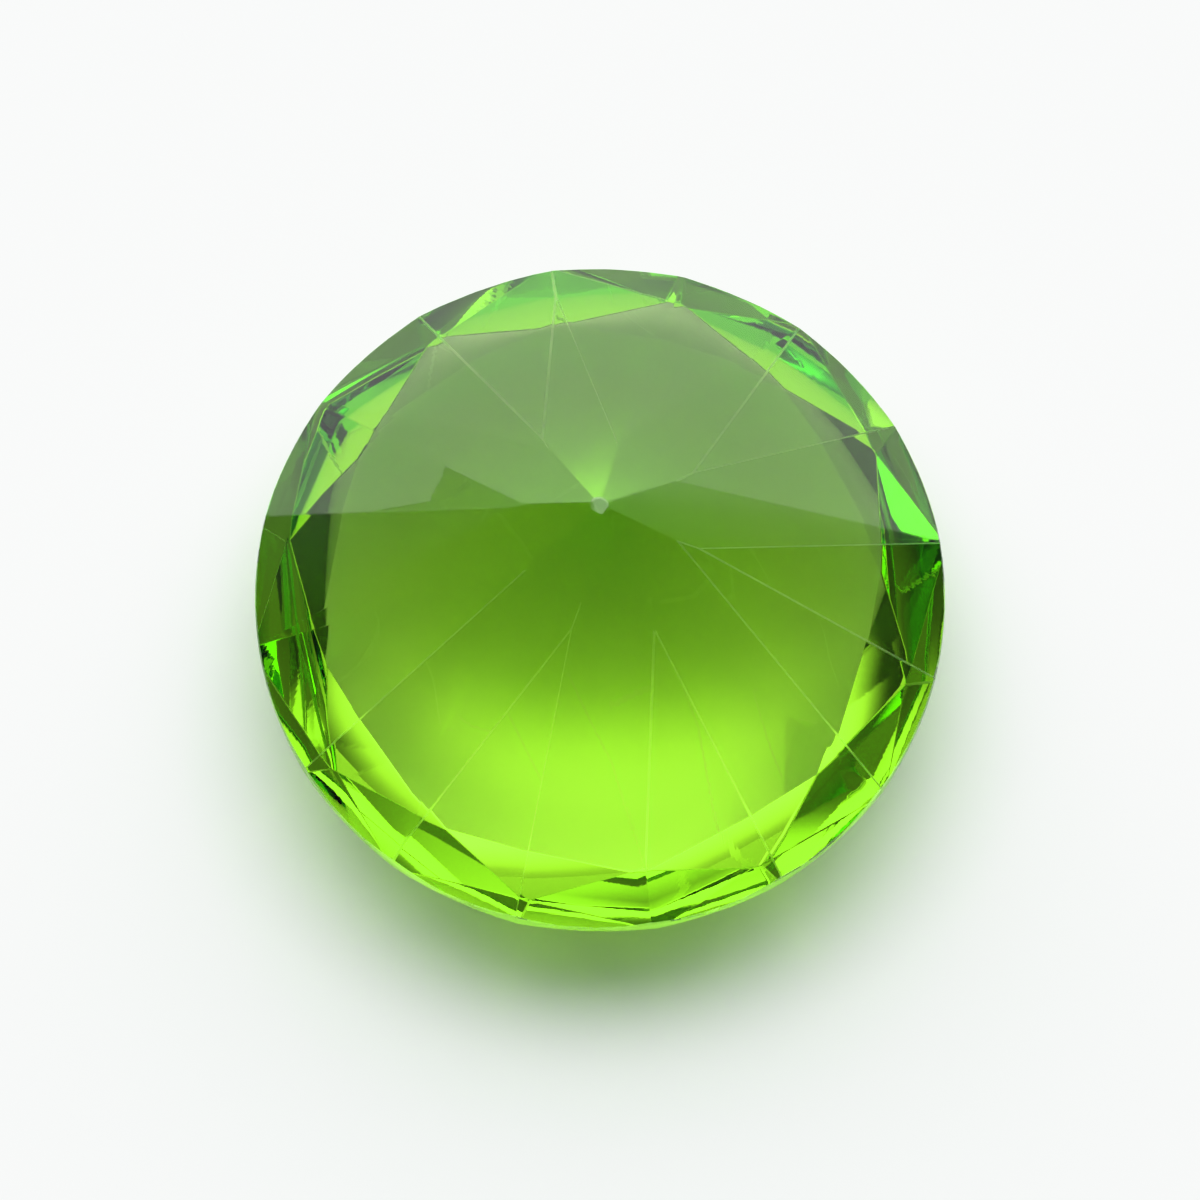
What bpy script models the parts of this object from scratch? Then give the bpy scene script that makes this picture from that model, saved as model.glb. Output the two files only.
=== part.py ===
"""Chrome diopside: one small round brilliant cut stone, lying on its table facet.

Metres, +Z up. The origin is the centre of the table, which lies on the surface at
z = 0. The crown comes next above it, then the girdle, then the pavilion, and the
culet is the small facet at the very top. The stone is cut the way a faceter cuts
it: a round blank is ground to size, and each facet is one flat cut through it.
"""

import math
import random

import bmesh
import bpy
from mathutils import Vector

# Driving dimensions. A cutter gives the rest of a stone as shares of its width.
GIRDLE_DIAMETER = 0.0025
TABLE_SHARE = 0.66
CROWN_ANGLE = math.radians(35.5)
STAR_SHARE = 0.52
GIRDLE_SHARE = 0.034
PAVILION_ANGLE = math.radians(41.6)
LOWER_HALF_SHARE = 0.75
CULET_SHARE = 0.024

# A small stone is cut by eye, so each facet is a little off in tilt and in depth.
TILT_ERROR = math.radians(0.35)
DEPTH_ERROR = 0.0008 * GIRDLE_DIAMETER
CUTTER_SEED = 11

# The facets repeat eight times around the stone, and the blank is a fine round bar.
FOLDS = 8
BLANK_SIDES = 128
STONE_TURN = math.radians(9.0)
CUT_TOLERANCE = 1e-9
WELD_DISTANCE = 0.0004 * GIRDLE_DIAMETER

# Sizes worked out from the driving dimensions.
GIRDLE_RADIUS = GIRDLE_DIAMETER / 2
TABLE_RADIUS = TABLE_SHARE * GIRDLE_RADIUS
CROWN_HEIGHT = (GIRDLE_RADIUS - TABLE_RADIUS) * math.tan(CROWN_ANGLE)
GIRDLE_TOP = CROWN_HEIGHT + GIRDLE_SHARE * GIRDLE_DIAMETER
CULET_RADIUS = CULET_SHARE * GIRDLE_RADIUS
CULET_HEIGHT = GIRDLE_TOP + (GIRDLE_RADIUS - CULET_RADIUS) * math.tan(PAVILION_ANGLE)
MAIN_STEP = 2 * math.pi / FOLDS
HALF_STEP = MAIN_STEP / 2


def clear_scene():
    for item in list(bpy.data.objects):
        bpy.data.objects.remove(item, do_unlink=True)


def point(radius, angle, height):
    return Vector((radius * math.cos(angle), radius * math.sin(angle), height))


def facet(first, second, third):
    """The facet through three of its corners: its middle, and its normal away from the stone."""
    middle = (first + second + third) / 3
    normal = (second - first).cross(third - first).normalized()
    inside = Vector((0.0, 0.0, GIRDLE_TOP))
    if normal.dot(middle - inside) < 0:
        normal = -normal
    return middle, normal


def main_facet(angle, inner_radius, inner_height, slope, side):
    """A main facet, from its inner end up or down the slope to the girdle."""
    normal = point(math.sin(slope), angle, side * math.cos(slope))
    middle_radius = (inner_radius + GIRDLE_RADIUS) / 2
    fall = (middle_radius - inner_radius) * math.tan(slope)
    return point(middle_radius, angle, inner_height - side * fall), normal


def star_tip(angle):
    """Where a star facet's outer tip lies, on the ridge between two crown mains."""
    edge = TABLE_RADIUS * math.cos(HALF_STEP)
    radius = edge + STAR_SHARE * (GIRDLE_RADIUS - edge)
    height = (radius * math.cos(HALF_STEP) - TABLE_RADIUS) * math.tan(CROWN_ANGLE)
    return point(radius, angle, height)


def lower_half_tip(angle):
    """Where two lower halves meet on the ridge between two pavilion mains."""
    radius = (1 - LOWER_HALF_SHARE) * GIRDLE_RADIUS
    rise = (GIRDLE_RADIUS - radius * math.cos(HALF_STEP)) * math.tan(PAVILION_ANGLE)
    return point(radius, angle, GIRDLE_TOP + rise)


def half_facets(main, tip, girdle_height):
    """The two facets that fill the space between a ridge's tip and the girdle."""
    ridge_foot = point(GIRDLE_RADIUS, main + HALF_STEP, girdle_height)
    feet = [point(GIRDLE_RADIUS, angle, girdle_height) for angle in (main, main + MAIN_STEP)]
    return [facet(tip, foot, ridge_foot) for foot in feet]


def crown_facets():
    cuts = []
    for fold in range(FOLDS):
        main = fold * MAIN_STEP
        tip = star_tip(main + HALF_STEP)
        corners = [point(TABLE_RADIUS, angle, 0.0) for angle in (main, main + MAIN_STEP)]
        cuts.append(main_facet(main, TABLE_RADIUS, 0.0, CROWN_ANGLE, -1))
        cuts.append(facet(corners[0], corners[1], tip))
        cuts.extend(half_facets(main, tip, CROWN_HEIGHT))
    return cuts


def pavilion_facets():
    cuts = []
    for fold in range(FOLDS):
        main = fold * MAIN_STEP
        tip = lower_half_tip(main + HALF_STEP)
        cuts.append(main_facet(main, CULET_RADIUS, CULET_HEIGHT, PAVILION_ANGLE, 1))
        cuts.extend(half_facets(main, tip, GIRDLE_TOP))
    return cuts


def cut_by_eye(cuts, cutter):
    """The same facets with the small errors that a hand leaves in each."""
    made = []
    for middle, normal in cuts:
        slip = Vector([cutter.uniform(-1, 1) for _ in range(3)]) * math.sin(TILT_ERROR)
        leaning = (normal + slip).normalized()
        made.append((middle + leaning * cutter.uniform(-1, 1) * DEPTH_ERROR, leaning))
    return made


def round_blank(mesh):
    """The ground bar the stone is cut from, from the table to the culet."""
    made = bmesh.ops.create_cone(mesh, cap_ends=True, segments=BLANK_SIDES,
                                 radius1=GIRDLE_RADIUS, radius2=GIRDLE_RADIUS,
                                 depth=CULET_HEIGHT)
    bmesh.ops.translate(mesh, verts=made["verts"], vec=(0.0, 0.0, CULET_HEIGHT / 2))


def cut_facet(mesh, middle, normal):
    """Grinds away what is outside the facet and closes the cut with one flat face."""
    everything = mesh.verts[:] + mesh.edges[:] + mesh.faces[:]
    cut = bmesh.ops.bisect_plane(mesh, geom=everything, dist=CUT_TOLERANCE, plane_co=middle,
                                 plane_no=normal, clear_outer=True)
    rim = [item for item in cut["geom_cut"] if isinstance(item, bmesh.types.BMEdge)]
    open_rim = [edge for edge in rim if edge.is_boundary]
    if open_rim:
        bmesh.ops.contextual_create(mesh, geom=open_rim)


def gem_material():
    material = bpy.data.materials.new("chrome_diopside")
    material.use_nodes = True
    shader = material.node_tree.nodes["Principled BSDF"]
    shader.inputs["Base Color"].default_value = (0.16, 0.46, 0.03, 1.0)
    shader.inputs["Metallic"].default_value = 0.0
    shader.inputs["Roughness"].default_value = 0.02
    shader.inputs["IOR"].default_value = 1.68
    shader.inputs["Transmission Weight"].default_value = 1.0
    return material


def gemstone():
    mesh = bmesh.new()
    round_blank(mesh)
    for middle, normal in cut_by_eye(crown_facets() + pavilion_facets(),
                                     random.Random(CUTTER_SEED)):
        cut_facet(mesh, middle, normal)
    bmesh.ops.remove_doubles(mesh, verts=mesh.verts, dist=WELD_DISTANCE)
    bmesh.ops.recalc_face_normals(mesh, faces=mesh.faces)
    data = bpy.data.meshes.new("gemstone")
    mesh.to_mesh(data)
    mesh.free()
    data.materials.append(gem_material())
    stone = bpy.data.objects.new("gemstone", data)
    stone.rotation_euler.z = STONE_TURN
    bpy.context.scene.collection.objects.link(stone)
    return stone


clear_scene()
gemstone()
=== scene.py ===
"""Looks of the chrome diopside: one small green stone, table down on a white surface."""

import math
import random

import bmesh
import bpy
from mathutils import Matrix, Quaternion, Vector

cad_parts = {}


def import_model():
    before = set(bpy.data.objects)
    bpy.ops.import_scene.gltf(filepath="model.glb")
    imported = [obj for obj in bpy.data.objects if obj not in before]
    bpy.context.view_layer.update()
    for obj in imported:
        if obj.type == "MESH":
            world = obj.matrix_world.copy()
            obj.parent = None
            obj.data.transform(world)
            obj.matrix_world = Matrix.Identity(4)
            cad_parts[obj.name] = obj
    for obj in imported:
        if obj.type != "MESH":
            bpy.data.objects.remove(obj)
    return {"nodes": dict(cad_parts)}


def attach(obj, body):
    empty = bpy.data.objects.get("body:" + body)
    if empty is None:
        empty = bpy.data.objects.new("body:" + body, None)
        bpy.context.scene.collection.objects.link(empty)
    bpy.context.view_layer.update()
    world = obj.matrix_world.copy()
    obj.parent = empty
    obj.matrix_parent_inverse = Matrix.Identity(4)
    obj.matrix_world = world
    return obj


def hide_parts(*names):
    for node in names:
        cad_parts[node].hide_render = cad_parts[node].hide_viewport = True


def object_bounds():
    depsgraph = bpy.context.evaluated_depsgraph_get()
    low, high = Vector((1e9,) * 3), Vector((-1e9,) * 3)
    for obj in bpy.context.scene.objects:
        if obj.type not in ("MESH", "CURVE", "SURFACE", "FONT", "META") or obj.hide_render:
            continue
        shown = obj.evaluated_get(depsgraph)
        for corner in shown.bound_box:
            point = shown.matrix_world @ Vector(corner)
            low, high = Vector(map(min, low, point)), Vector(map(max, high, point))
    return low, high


# Lengths below are shares of the stone's width, which comes from the frame. Only the
# lens and its sensor are in millimetres, and the cut tolerance is in metres.
# The camera looks down on the stone from the photograph's angle, through a long lens.
VIEW_ELEVATION = math.radians(73)
VIEW_DISTANCE = 24.0
AIM_DROP = 0.05
CLIP_DISTANCE = 1000
LENS_MM = 500.0
SENSOR_MM = 36.0

# The facets are read from the frame's stone and cut again out of a larger block. Both
# GIRDLE_STEEPNESS and NEARLY_LEVEL are limits for the upward part of a facet's direction.
BLOCK_SIZE = 3
CUT_TOLERANCE = 1e-9
THIN_SHARE = 0.02
SAME_FACET_ANGLE = math.radians(2)
GIRDLE_STEEPNESS = 0.05
NEARLY_LEVEL = 0.99
SMOOTH_GIRDLE_ANGLE = math.radians(12)

# The edges between facets are worn to narrow flats, and the girdle is finely ground.
JUNCTION_NARROW = 0.0015
JUNCTION_WIDE = 0.0045
LEAST_JUNCTION_ANGLE = math.radians(1.5)
WEAR_SEED = 5
WORN_ROUGHNESS = 0.12
GIRDLE_ROUGHNESS = 0.3
GRINDING_DEPTH = 0.0003

# Each facet was polished on a turning lap, which left faint lines in one direction.
POLISH_ROUGHNESS = 0.004
POLISH_HAZE = 0.014
LINE_SPACING = 0.01
LINE_DEPTH = 0.000015
LAP_SWING = math.radians(35)

# The crystal absorbs red and blue, and its colour is a little deeper in soft patches.
DIOPSIDE_IOR = 1.68
BODY_COLOUR = (0.72, 0.935, 0.032, 1.0)
BODY_DENSITY = 4.1
ZONE_SIZE = 0.4
PALE_ZONE = (1.0, 1.0, 1.0, 1.0)
DEEP_ZONE = (0.9, 0.97, 0.82, 1.0)
NOISE_DETAIL = 1.0

# The surface it lies on, with a thin film of air between it and the table.
FLOOR_GAP = 0.0015
FLOOR_SIZE = 160.0
FLOOR_COLOUR = (0.87, 0.885, 0.88, 1.0)
FLOOR_ROUGHNESS = 0.85
FLOOR_SPECULAR = 0.2

# The light is a white tent. Its glow is brightest behind the stone, is wider than it is
# high, and fades down to the horizon. The roof is fainter, and the front is nearly dark.
# HORIZON_TOP and ROOF_EDGE are sines of an elevation. Shares are of the full glow.
GLOW_ELEVATION = math.radians(29)
GLOW_INNER = math.radians(5)
GLOW_OUTER = math.radians(64)
GLOW_SQUEEZE = Vector((0.55, 1, 1))
HORIZON_SHARE = 0.25
HORIZON_TOP = 0.35
ROOF_SHARE = 0.06
ROOF_EDGE = 0.6
ROOM_SHARE = 0.012
GLOW_COLOUR = (1.0, 1.0, 0.98, 1.0)
ROOM_COLOUR = (0.86, 0.93, 0.96, 1.0)
FLOOR_BRIGHTNESS = 1.05
SKY_STEPS = 60

# Highlights roll off above the shoulder, so that bright facets keep their green.
SHOULDER = 0.85
BRIGHTEST = 4.0
SHOULDER_STEPS = 8
ALL_CHANNELS = 3

# How often light may turn, in the crystal and off the floor. BLUR_GLOSSY softens the
# light that the crystal throws on the floor, which keeps grain out of it.
CRYSTAL_BOUNCES = 9
FLOOR_BOUNCES = 4
BLUR_GLOSSY = 0.2


def node(tree, kind, **settings):
    made = tree.nodes.new(kind)
    for name, value in settings.items():
        setattr(made, name, value)
    return made


def link(tree, source, target):
    tree.links.new(source, target)


def ramp(tree, value, low, high, start, end, shape="LINEAR"):
    """Goes from start to end as the value goes from low to high."""
    made = node(tree, "ShaderNodeMapRange", interpolation_type=shape)
    made.inputs["From Min"].default_value = low
    made.inputs["From Max"].default_value = high
    made.inputs["To Min"].default_value = start
    made.inputs["To Max"].default_value = end
    link(tree, value, made.inputs["Value"])
    return made.outputs["Result"]


def blend(tree, share, first, second):
    made = node(tree, "ShaderNodeMix", data_type="RGBA")
    made.inputs["A"].default_value = first
    made.inputs["B"].default_value = second
    link(tree, share, made.inputs["Factor"])
    return made.outputs["Result"]


def new_material(name):
    material = bpy.data.materials.new(name)
    material.use_nodes = True
    return material, material.node_tree.nodes["Principled BSDF"]


def noise(tree, size, dimensions, socket, value):
    """A noise texture of the value, with features of about this size."""
    made = node(tree, "ShaderNodeTexNoise", noise_dimensions=dimensions)
    made.inputs["Scale"].default_value = 1 / size
    made.inputs["Detail"].default_value = NOISE_DETAIL
    link(tree, value, made.inputs[socket])
    return made.outputs["Fac"]


def scaled(tree, value, factor, start):
    """start + factor * value, where factor and start are numbers or other outputs."""
    made = node(tree, "ShaderNodeMath", operation="MULTIPLY_ADD")
    link(tree, value, made.inputs[0])
    for source, socket in ((factor, made.inputs[1]), (start, made.inputs[2])):
        if isinstance(source, float):
            socket.default_value = source
        else:
            link(tree, source, socket)
    return made.outputs[0]


def vector_math(tree, operation, first, second=None):
    """A step on one vector output, or on two, where the second may be a fixed vector."""
    made = node(tree, "ShaderNodeVectorMath", operation=operation)
    link(tree, first, made.inputs[0])
    if isinstance(second, Vector):
        made.inputs[1].default_value = second
    elif second is not None:
        link(tree, second, made.inputs[1])
    return made.outputs


def finish_roughness(tree, mottle, ground, worn):
    """Smooth with patches of faint haze, rougher on worn edges and the ground girdle."""
    polished = scaled(tree, mottle, POLISH_HAZE, POLISH_ROUGHNESS)
    edges = scaled(tree, worn, WORN_ROUGHNESS, polished)
    return scaled(tree, ground, GIRDLE_ROUGHNESS, edges)


def finish_relief(tree, where, ground, width):
    """Faint polish lines on each facet, and deeper grinding lines round the girdle."""
    lap = node(tree, "ShaderNodeAttribute", attribute_name="lap").outputs["Vector"]
    across = vector_math(tree, "DOT_PRODUCT", where, lap)["Value"]
    lines = noise(tree, LINE_SPACING * width, "1D", "W", across)
    bump = node(tree, "ShaderNodeBump")
    link(tree, lines, bump.inputs["Height"])
    depth = scaled(tree, ground, GRINDING_DEPTH * width, LINE_DEPTH * width)
    link(tree, depth, bump.inputs["Distance"])
    return bump.outputs["Normal"]


def diopside_material(width):
    """Clear green crystal. Face attributes say where it is ground, worn, and lapped."""
    material, shader = new_material("diopside_crystal")
    tree = material.node_tree
    shader.inputs["IOR"].default_value = DIOPSIDE_IOR
    shader.inputs["Transmission Weight"].default_value = 1.0
    where = node(tree, "ShaderNodeTexCoord").outputs["Object"]
    ground = node(tree, "ShaderNodeAttribute", attribute_name="ground").outputs["Fac"]
    worn = node(tree, "ShaderNodeAttribute", attribute_name="worn").outputs["Fac"]
    mottle = noise(tree, ZONE_SIZE * width, "3D", "Vector", where)
    link(tree, blend(tree, mottle, PALE_ZONE, DEEP_ZONE), shader.inputs["Base Color"])
    link(tree, finish_roughness(tree, mottle, ground, worn), shader.inputs["Roughness"])
    link(tree, finish_relief(tree, where, ground, width), shader.inputs["Normal"])
    absorb = node(tree, "ShaderNodeVolumeAbsorption")
    absorb.inputs["Color"].default_value = BODY_COLOUR
    absorb.inputs["Density"].default_value = BODY_DENSITY / width
    link(tree, absorb.outputs["Volume"], tree.nodes["Material Output"].inputs["Volume"])
    return material


def facet_planes(source):
    """Every flat facet of the CAD stone, as a point on it and its outward direction."""
    mesh = bmesh.new()
    mesh.from_mesh(source.data)
    planes = []
    for face in sorted(mesh.faces, key=lambda item: item.calc_area(), reverse=True):
        longest = max(edge.calc_length() for edge in face.edges)
        if face.calc_area() < THIN_SHARE * longest ** 2:
            continue
        if all(normal.angle(face.normal) > SAME_FACET_ANGLE for middle, normal in planes):
            planes.append((face.calc_center_median(), face.normal.copy()))
    mesh.free()
    return planes


def is_girdle(face):
    return abs(face.normal.z) < GIRDLE_STEEPNESS


def grind(mesh, middle, outward):
    """Takes off what lies outside a flat cut; returns the faces that close it."""
    everything = mesh.verts[:] + mesh.edges[:] + mesh.faces[:]
    cut = bmesh.ops.bisect_plane(mesh, geom=everything, dist=CUT_TOLERANCE, plane_co=middle,
                                 plane_no=outward, clear_outer=True)
    rim = [item for item in cut["geom_cut"] if isinstance(item, bmesh.types.BMEdge)]
    open_rim = [edge for edge in rim if edge.is_boundary]
    if not open_rim:
        return []
    return bmesh.ops.contextual_create(mesh, geom=open_rim)["faces"]


def junction_cuts(mesh, width):
    """A shallow cut along each facet edge: a point on it and its outward direction."""
    wear = random.Random(WEAR_SEED)
    cuts = []
    for edge in mesh.edges:
        first, second = edge.link_faces
        turn = first.normal.angle(second.normal)
        if turn < LEAST_JUNCTION_ANGLE or (is_girdle(first) and is_girdle(second)):
            continue
        outward = (first.normal + second.normal).normalized()
        flat = wear.uniform(JUNCTION_NARROW, JUNCTION_WIDE) * width
        depth = flat * math.tan(turn / 2) / 2
        middle = (edge.verts[0].co + edge.verts[1].co) / 2
        cuts.append((middle - outward * depth, outward))
    return cuts


def lap_direction(normal, swing):
    """The direction across a facet's polish lines, which run roughly down its slope."""
    slope = Vector((1, 0, 0)) if abs(normal.z) > NEARLY_LEVEL else Vector((0, 0, 1))
    down = (slope - normal * slope.dot(normal)).normalized()
    return Quaternion(normal, math.pi / 2 + swing) @ down


def cut_stone(source, width):
    """The CAD facets cut again into one clean solid, with narrow flats on the edges."""
    mesh = bmesh.new()
    bmesh.ops.create_cube(mesh, size=BLOCK_SIZE * width)
    for middle, outward in facet_planes(source):
        grind(mesh, middle, outward)
    ground = mesh.faces.layers.float.new("ground")
    worn = mesh.faces.layers.float.new("worn")
    for face in mesh.faces:
        face.normal_update()
        face[ground] = 1.0 if is_girdle(face) else 0.0
    for middle, outward in junction_cuts(mesh, width):
        for face in grind(mesh, middle, outward):
            face[worn] = 1.0
    bmesh.ops.recalc_face_normals(mesh, faces=mesh.faces)
    lap = mesh.faces.layers.float_vector.new("lap")
    hand = random.Random(WEAR_SEED)
    for face in mesh.faces:
        face.smooth = face[ground] > 0 and face[worn] == 0
        face[lap] = lap_direction(face.normal, hand.uniform(-LAP_SWING, LAP_SWING))
        if is_girdle(face):
            face[lap] = (0, 0, 1)
    return mesh


def polished_stone(frame, width):
    mesh = cut_stone(frame["nodes"]["gemstone"], width)
    data = bpy.data.meshes.new("polished_stone")
    mesh.to_mesh(data)
    mesh.free()
    data.materials.append(diopside_material(width))
    data.set_sharp_from_angle(angle=SMOOTH_GIRDLE_ANGLE)
    stone = bpy.data.objects.new("polished_stone", data)
    bpy.context.scene.collection.objects.link(stone)
    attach(stone, "root")
    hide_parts("gemstone")


def floor(width):
    data = bpy.data.meshes.new("surface")
    half = FLOOR_SIZE * width / 2
    data.from_pydata([(-half, -half, 0), (half, -half, 0), (half, half, 0), (-half, half, 0)],
                     [], [(0, 1, 2, 3)])
    material, shader = new_material("white_surface")
    shader.inputs["Base Color"].default_value = FLOOR_COLOUR
    shader.inputs["Roughness"].default_value = FLOOR_ROUGHNESS
    shader.inputs["Specular IOR Level"].default_value = FLOOR_SPECULAR
    data.materials.append(material)
    surface = bpy.data.objects.new("surface", data)
    surface.location.z = -FLOOR_GAP * width
    bpy.context.scene.collection.objects.link(surface)


def look_at(item, target):
    direction = Vector(target) - item.location
    item.rotation_mode = "QUATERNION"
    item.rotation_quaternion = direction.to_track_quat("-Z", "Y")


def share_between(value, low, high):
    return min(max((value - low) / (high - low), 0.0), 1.0)


def smooth(value, low, high):
    """Rises from 0 at low to 1 at high, gently at both ends, as SMOOTHSTEP does."""
    share = share_between(value, low, high)
    return share ** 2 * (3 - 2 * share)


def smoother(value, low, high):
    """Rises more gently still at both ends, as SMOOTHERSTEP does."""
    share = share_between(value, low, high)
    return share ** 3 * (share * (6 * share - 15) + 10)


def tent_at(direction, middle):
    """How bright the tent is in a direction, where the full glow is one."""
    facing = (direction * GLOW_SQUEEZE).normalized().dot(middle)
    glow = smoother(facing, math.cos(GLOW_OUTER), math.cos(GLOW_INNER))
    above = HORIZON_SHARE + (1 - HORIZON_SHARE) * smooth(direction.z, 0, HORIZON_TOP)
    roof = ROOF_SHARE * smooth(direction.z, ROOF_EDGE, 1)
    return ROOM_SHARE + (1 - ROOM_SHARE) * min(glow * above + roof, 1.0)


def tent_on_floor(middle):
    """The light that the tent sends down onto a level surface, where the full glow is one."""
    total = 0.0
    for ring in range(SKY_STEPS):
        up = (ring + 0.5) / SKY_STEPS * math.pi / 2
        for turn in range(2 * SKY_STEPS):
            around = (turn + 0.5) / SKY_STEPS * math.pi
            direction = Vector((math.sin(around) * math.cos(up),
                                math.cos(around) * math.cos(up), math.sin(up)))
            total += tent_at(direction, middle) * math.sin(up) * math.cos(up)
    return total * (math.pi / 2 / SKY_STEPS) * (math.pi / SKY_STEPS)


def glow_nodes(tree, direction, middle):
    """The same glow as in tent_at, in nodes."""
    squeezed = vector_math(tree, "MULTIPLY", direction, GLOW_SQUEEZE)["Vector"]
    straight = vector_math(tree, "NORMALIZE", squeezed)["Vector"]
    facing = vector_math(tree, "DOT_PRODUCT", straight, middle)["Value"]
    return ramp(tree, facing, math.cos(GLOW_OUTER), math.cos(GLOW_INNER), 0, 1, "SMOOTHERSTEP")


def light():
    """The same tent in nodes, bright enough to give the floor its named brightness."""
    middle = Vector((0, math.cos(GLOW_ELEVATION), math.sin(GLOW_ELEVATION)))
    full = FLOOR_BRIGHTNESS * math.pi / (FLOOR_COLOUR[1] * tent_on_floor(middle))
    world = bpy.data.worlds.new("white_tent")
    world.use_nodes = True
    tree = world.node_tree
    direction = node(tree, "ShaderNodeTexCoord").outputs["Generated"]
    apart = node(tree, "ShaderNodeSeparateXYZ")
    link(tree, direction, apart.inputs[0])
    height = apart.outputs["Z"]
    glow = glow_nodes(tree, direction, middle)
    above = ramp(tree, height, 0, HORIZON_TOP, HORIZON_SHARE, 1, "SMOOTHSTEP")
    roof = ramp(tree, height, ROOF_EDGE, 1, 0, ROOF_SHARE, "SMOOTHSTEP")
    both = scaled(tree, glow, above, roof)
    background = tree.nodes["Background"]
    link(tree, blend(tree, glow, ROOM_COLOUR, GLOW_COLOUR), background.inputs["Color"])
    link(tree, ramp(tree, both, 0, 1, ROOM_SHARE * full, full), background.inputs["Strength"])
    bpy.context.scene.world = world


def camera(centre, width):
    data = bpy.data.cameras.new("camera")
    data.lens = LENS_MM
    data.sensor_width = SENSOR_MM
    data.clip_start = width
    data.clip_end = CLIP_DISTANCE * width
    item = bpy.data.objects.new("camera", data)
    back = Vector((0, -math.cos(VIEW_ELEVATION), math.sin(VIEW_ELEVATION)))
    target = centre - Vector((0, AIM_DROP * width, 0))
    item.location = target + back * VIEW_DISTANCE * width
    bpy.context.scene.collection.objects.link(item)
    look_at(item, target)
    bpy.context.scene.camera = item


def soft_highlights(view):
    """Brightness above the shoulder bends gently towards the top and keeps its hue."""
    view.use_curve_mapping = True
    curves = view.curve_mapping
    curves.tone = "FILMLIKE"
    curves.white_level = (BRIGHTEST, BRIGHTEST, BRIGHTEST)
    combined = curves.curves[ALL_CHANNELS]
    rise = 1 - SHOULDER
    for step in range(1, SHOULDER_STEPS):
        bright = SHOULDER + (BRIGHTEST - SHOULDER) * (step / SHOULDER_STEPS) ** 2
        bent = SHOULDER + rise * (1 - math.exp(-(bright - SHOULDER) / rise))
        combined.points.new(bright / BRIGHTEST, bent)
    combined.points.new(SHOULDER / BRIGHTEST, SHOULDER)
    combined.points.new(SHOULDER / BRIGHTEST / 2, SHOULDER / 2)
    curves.update()


def render_look():
    scene = bpy.context.scene
    scene.view_settings.view_transform = "Standard"
    scene.view_settings.look = "None"
    soft_highlights(scene.view_settings)
    scene.cycles.max_bounces = CRYSTAL_BOUNCES
    scene.cycles.transmission_bounces = CRYSTAL_BOUNCES
    scene.cycles.glossy_bounces = CRYSTAL_BOUNCES
    scene.cycles.diffuse_bounces = FLOOR_BOUNCES
    scene.cycles.blur_glossy = BLUR_GLOSSY


def main():
    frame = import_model()
    cad_low, cad_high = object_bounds()
    width = cad_high.x - cad_low.x
    render_look()
    polished_stone(frame, width)
    floor(width)
    light()
    camera((cad_low + cad_high) / 2, width)


main()
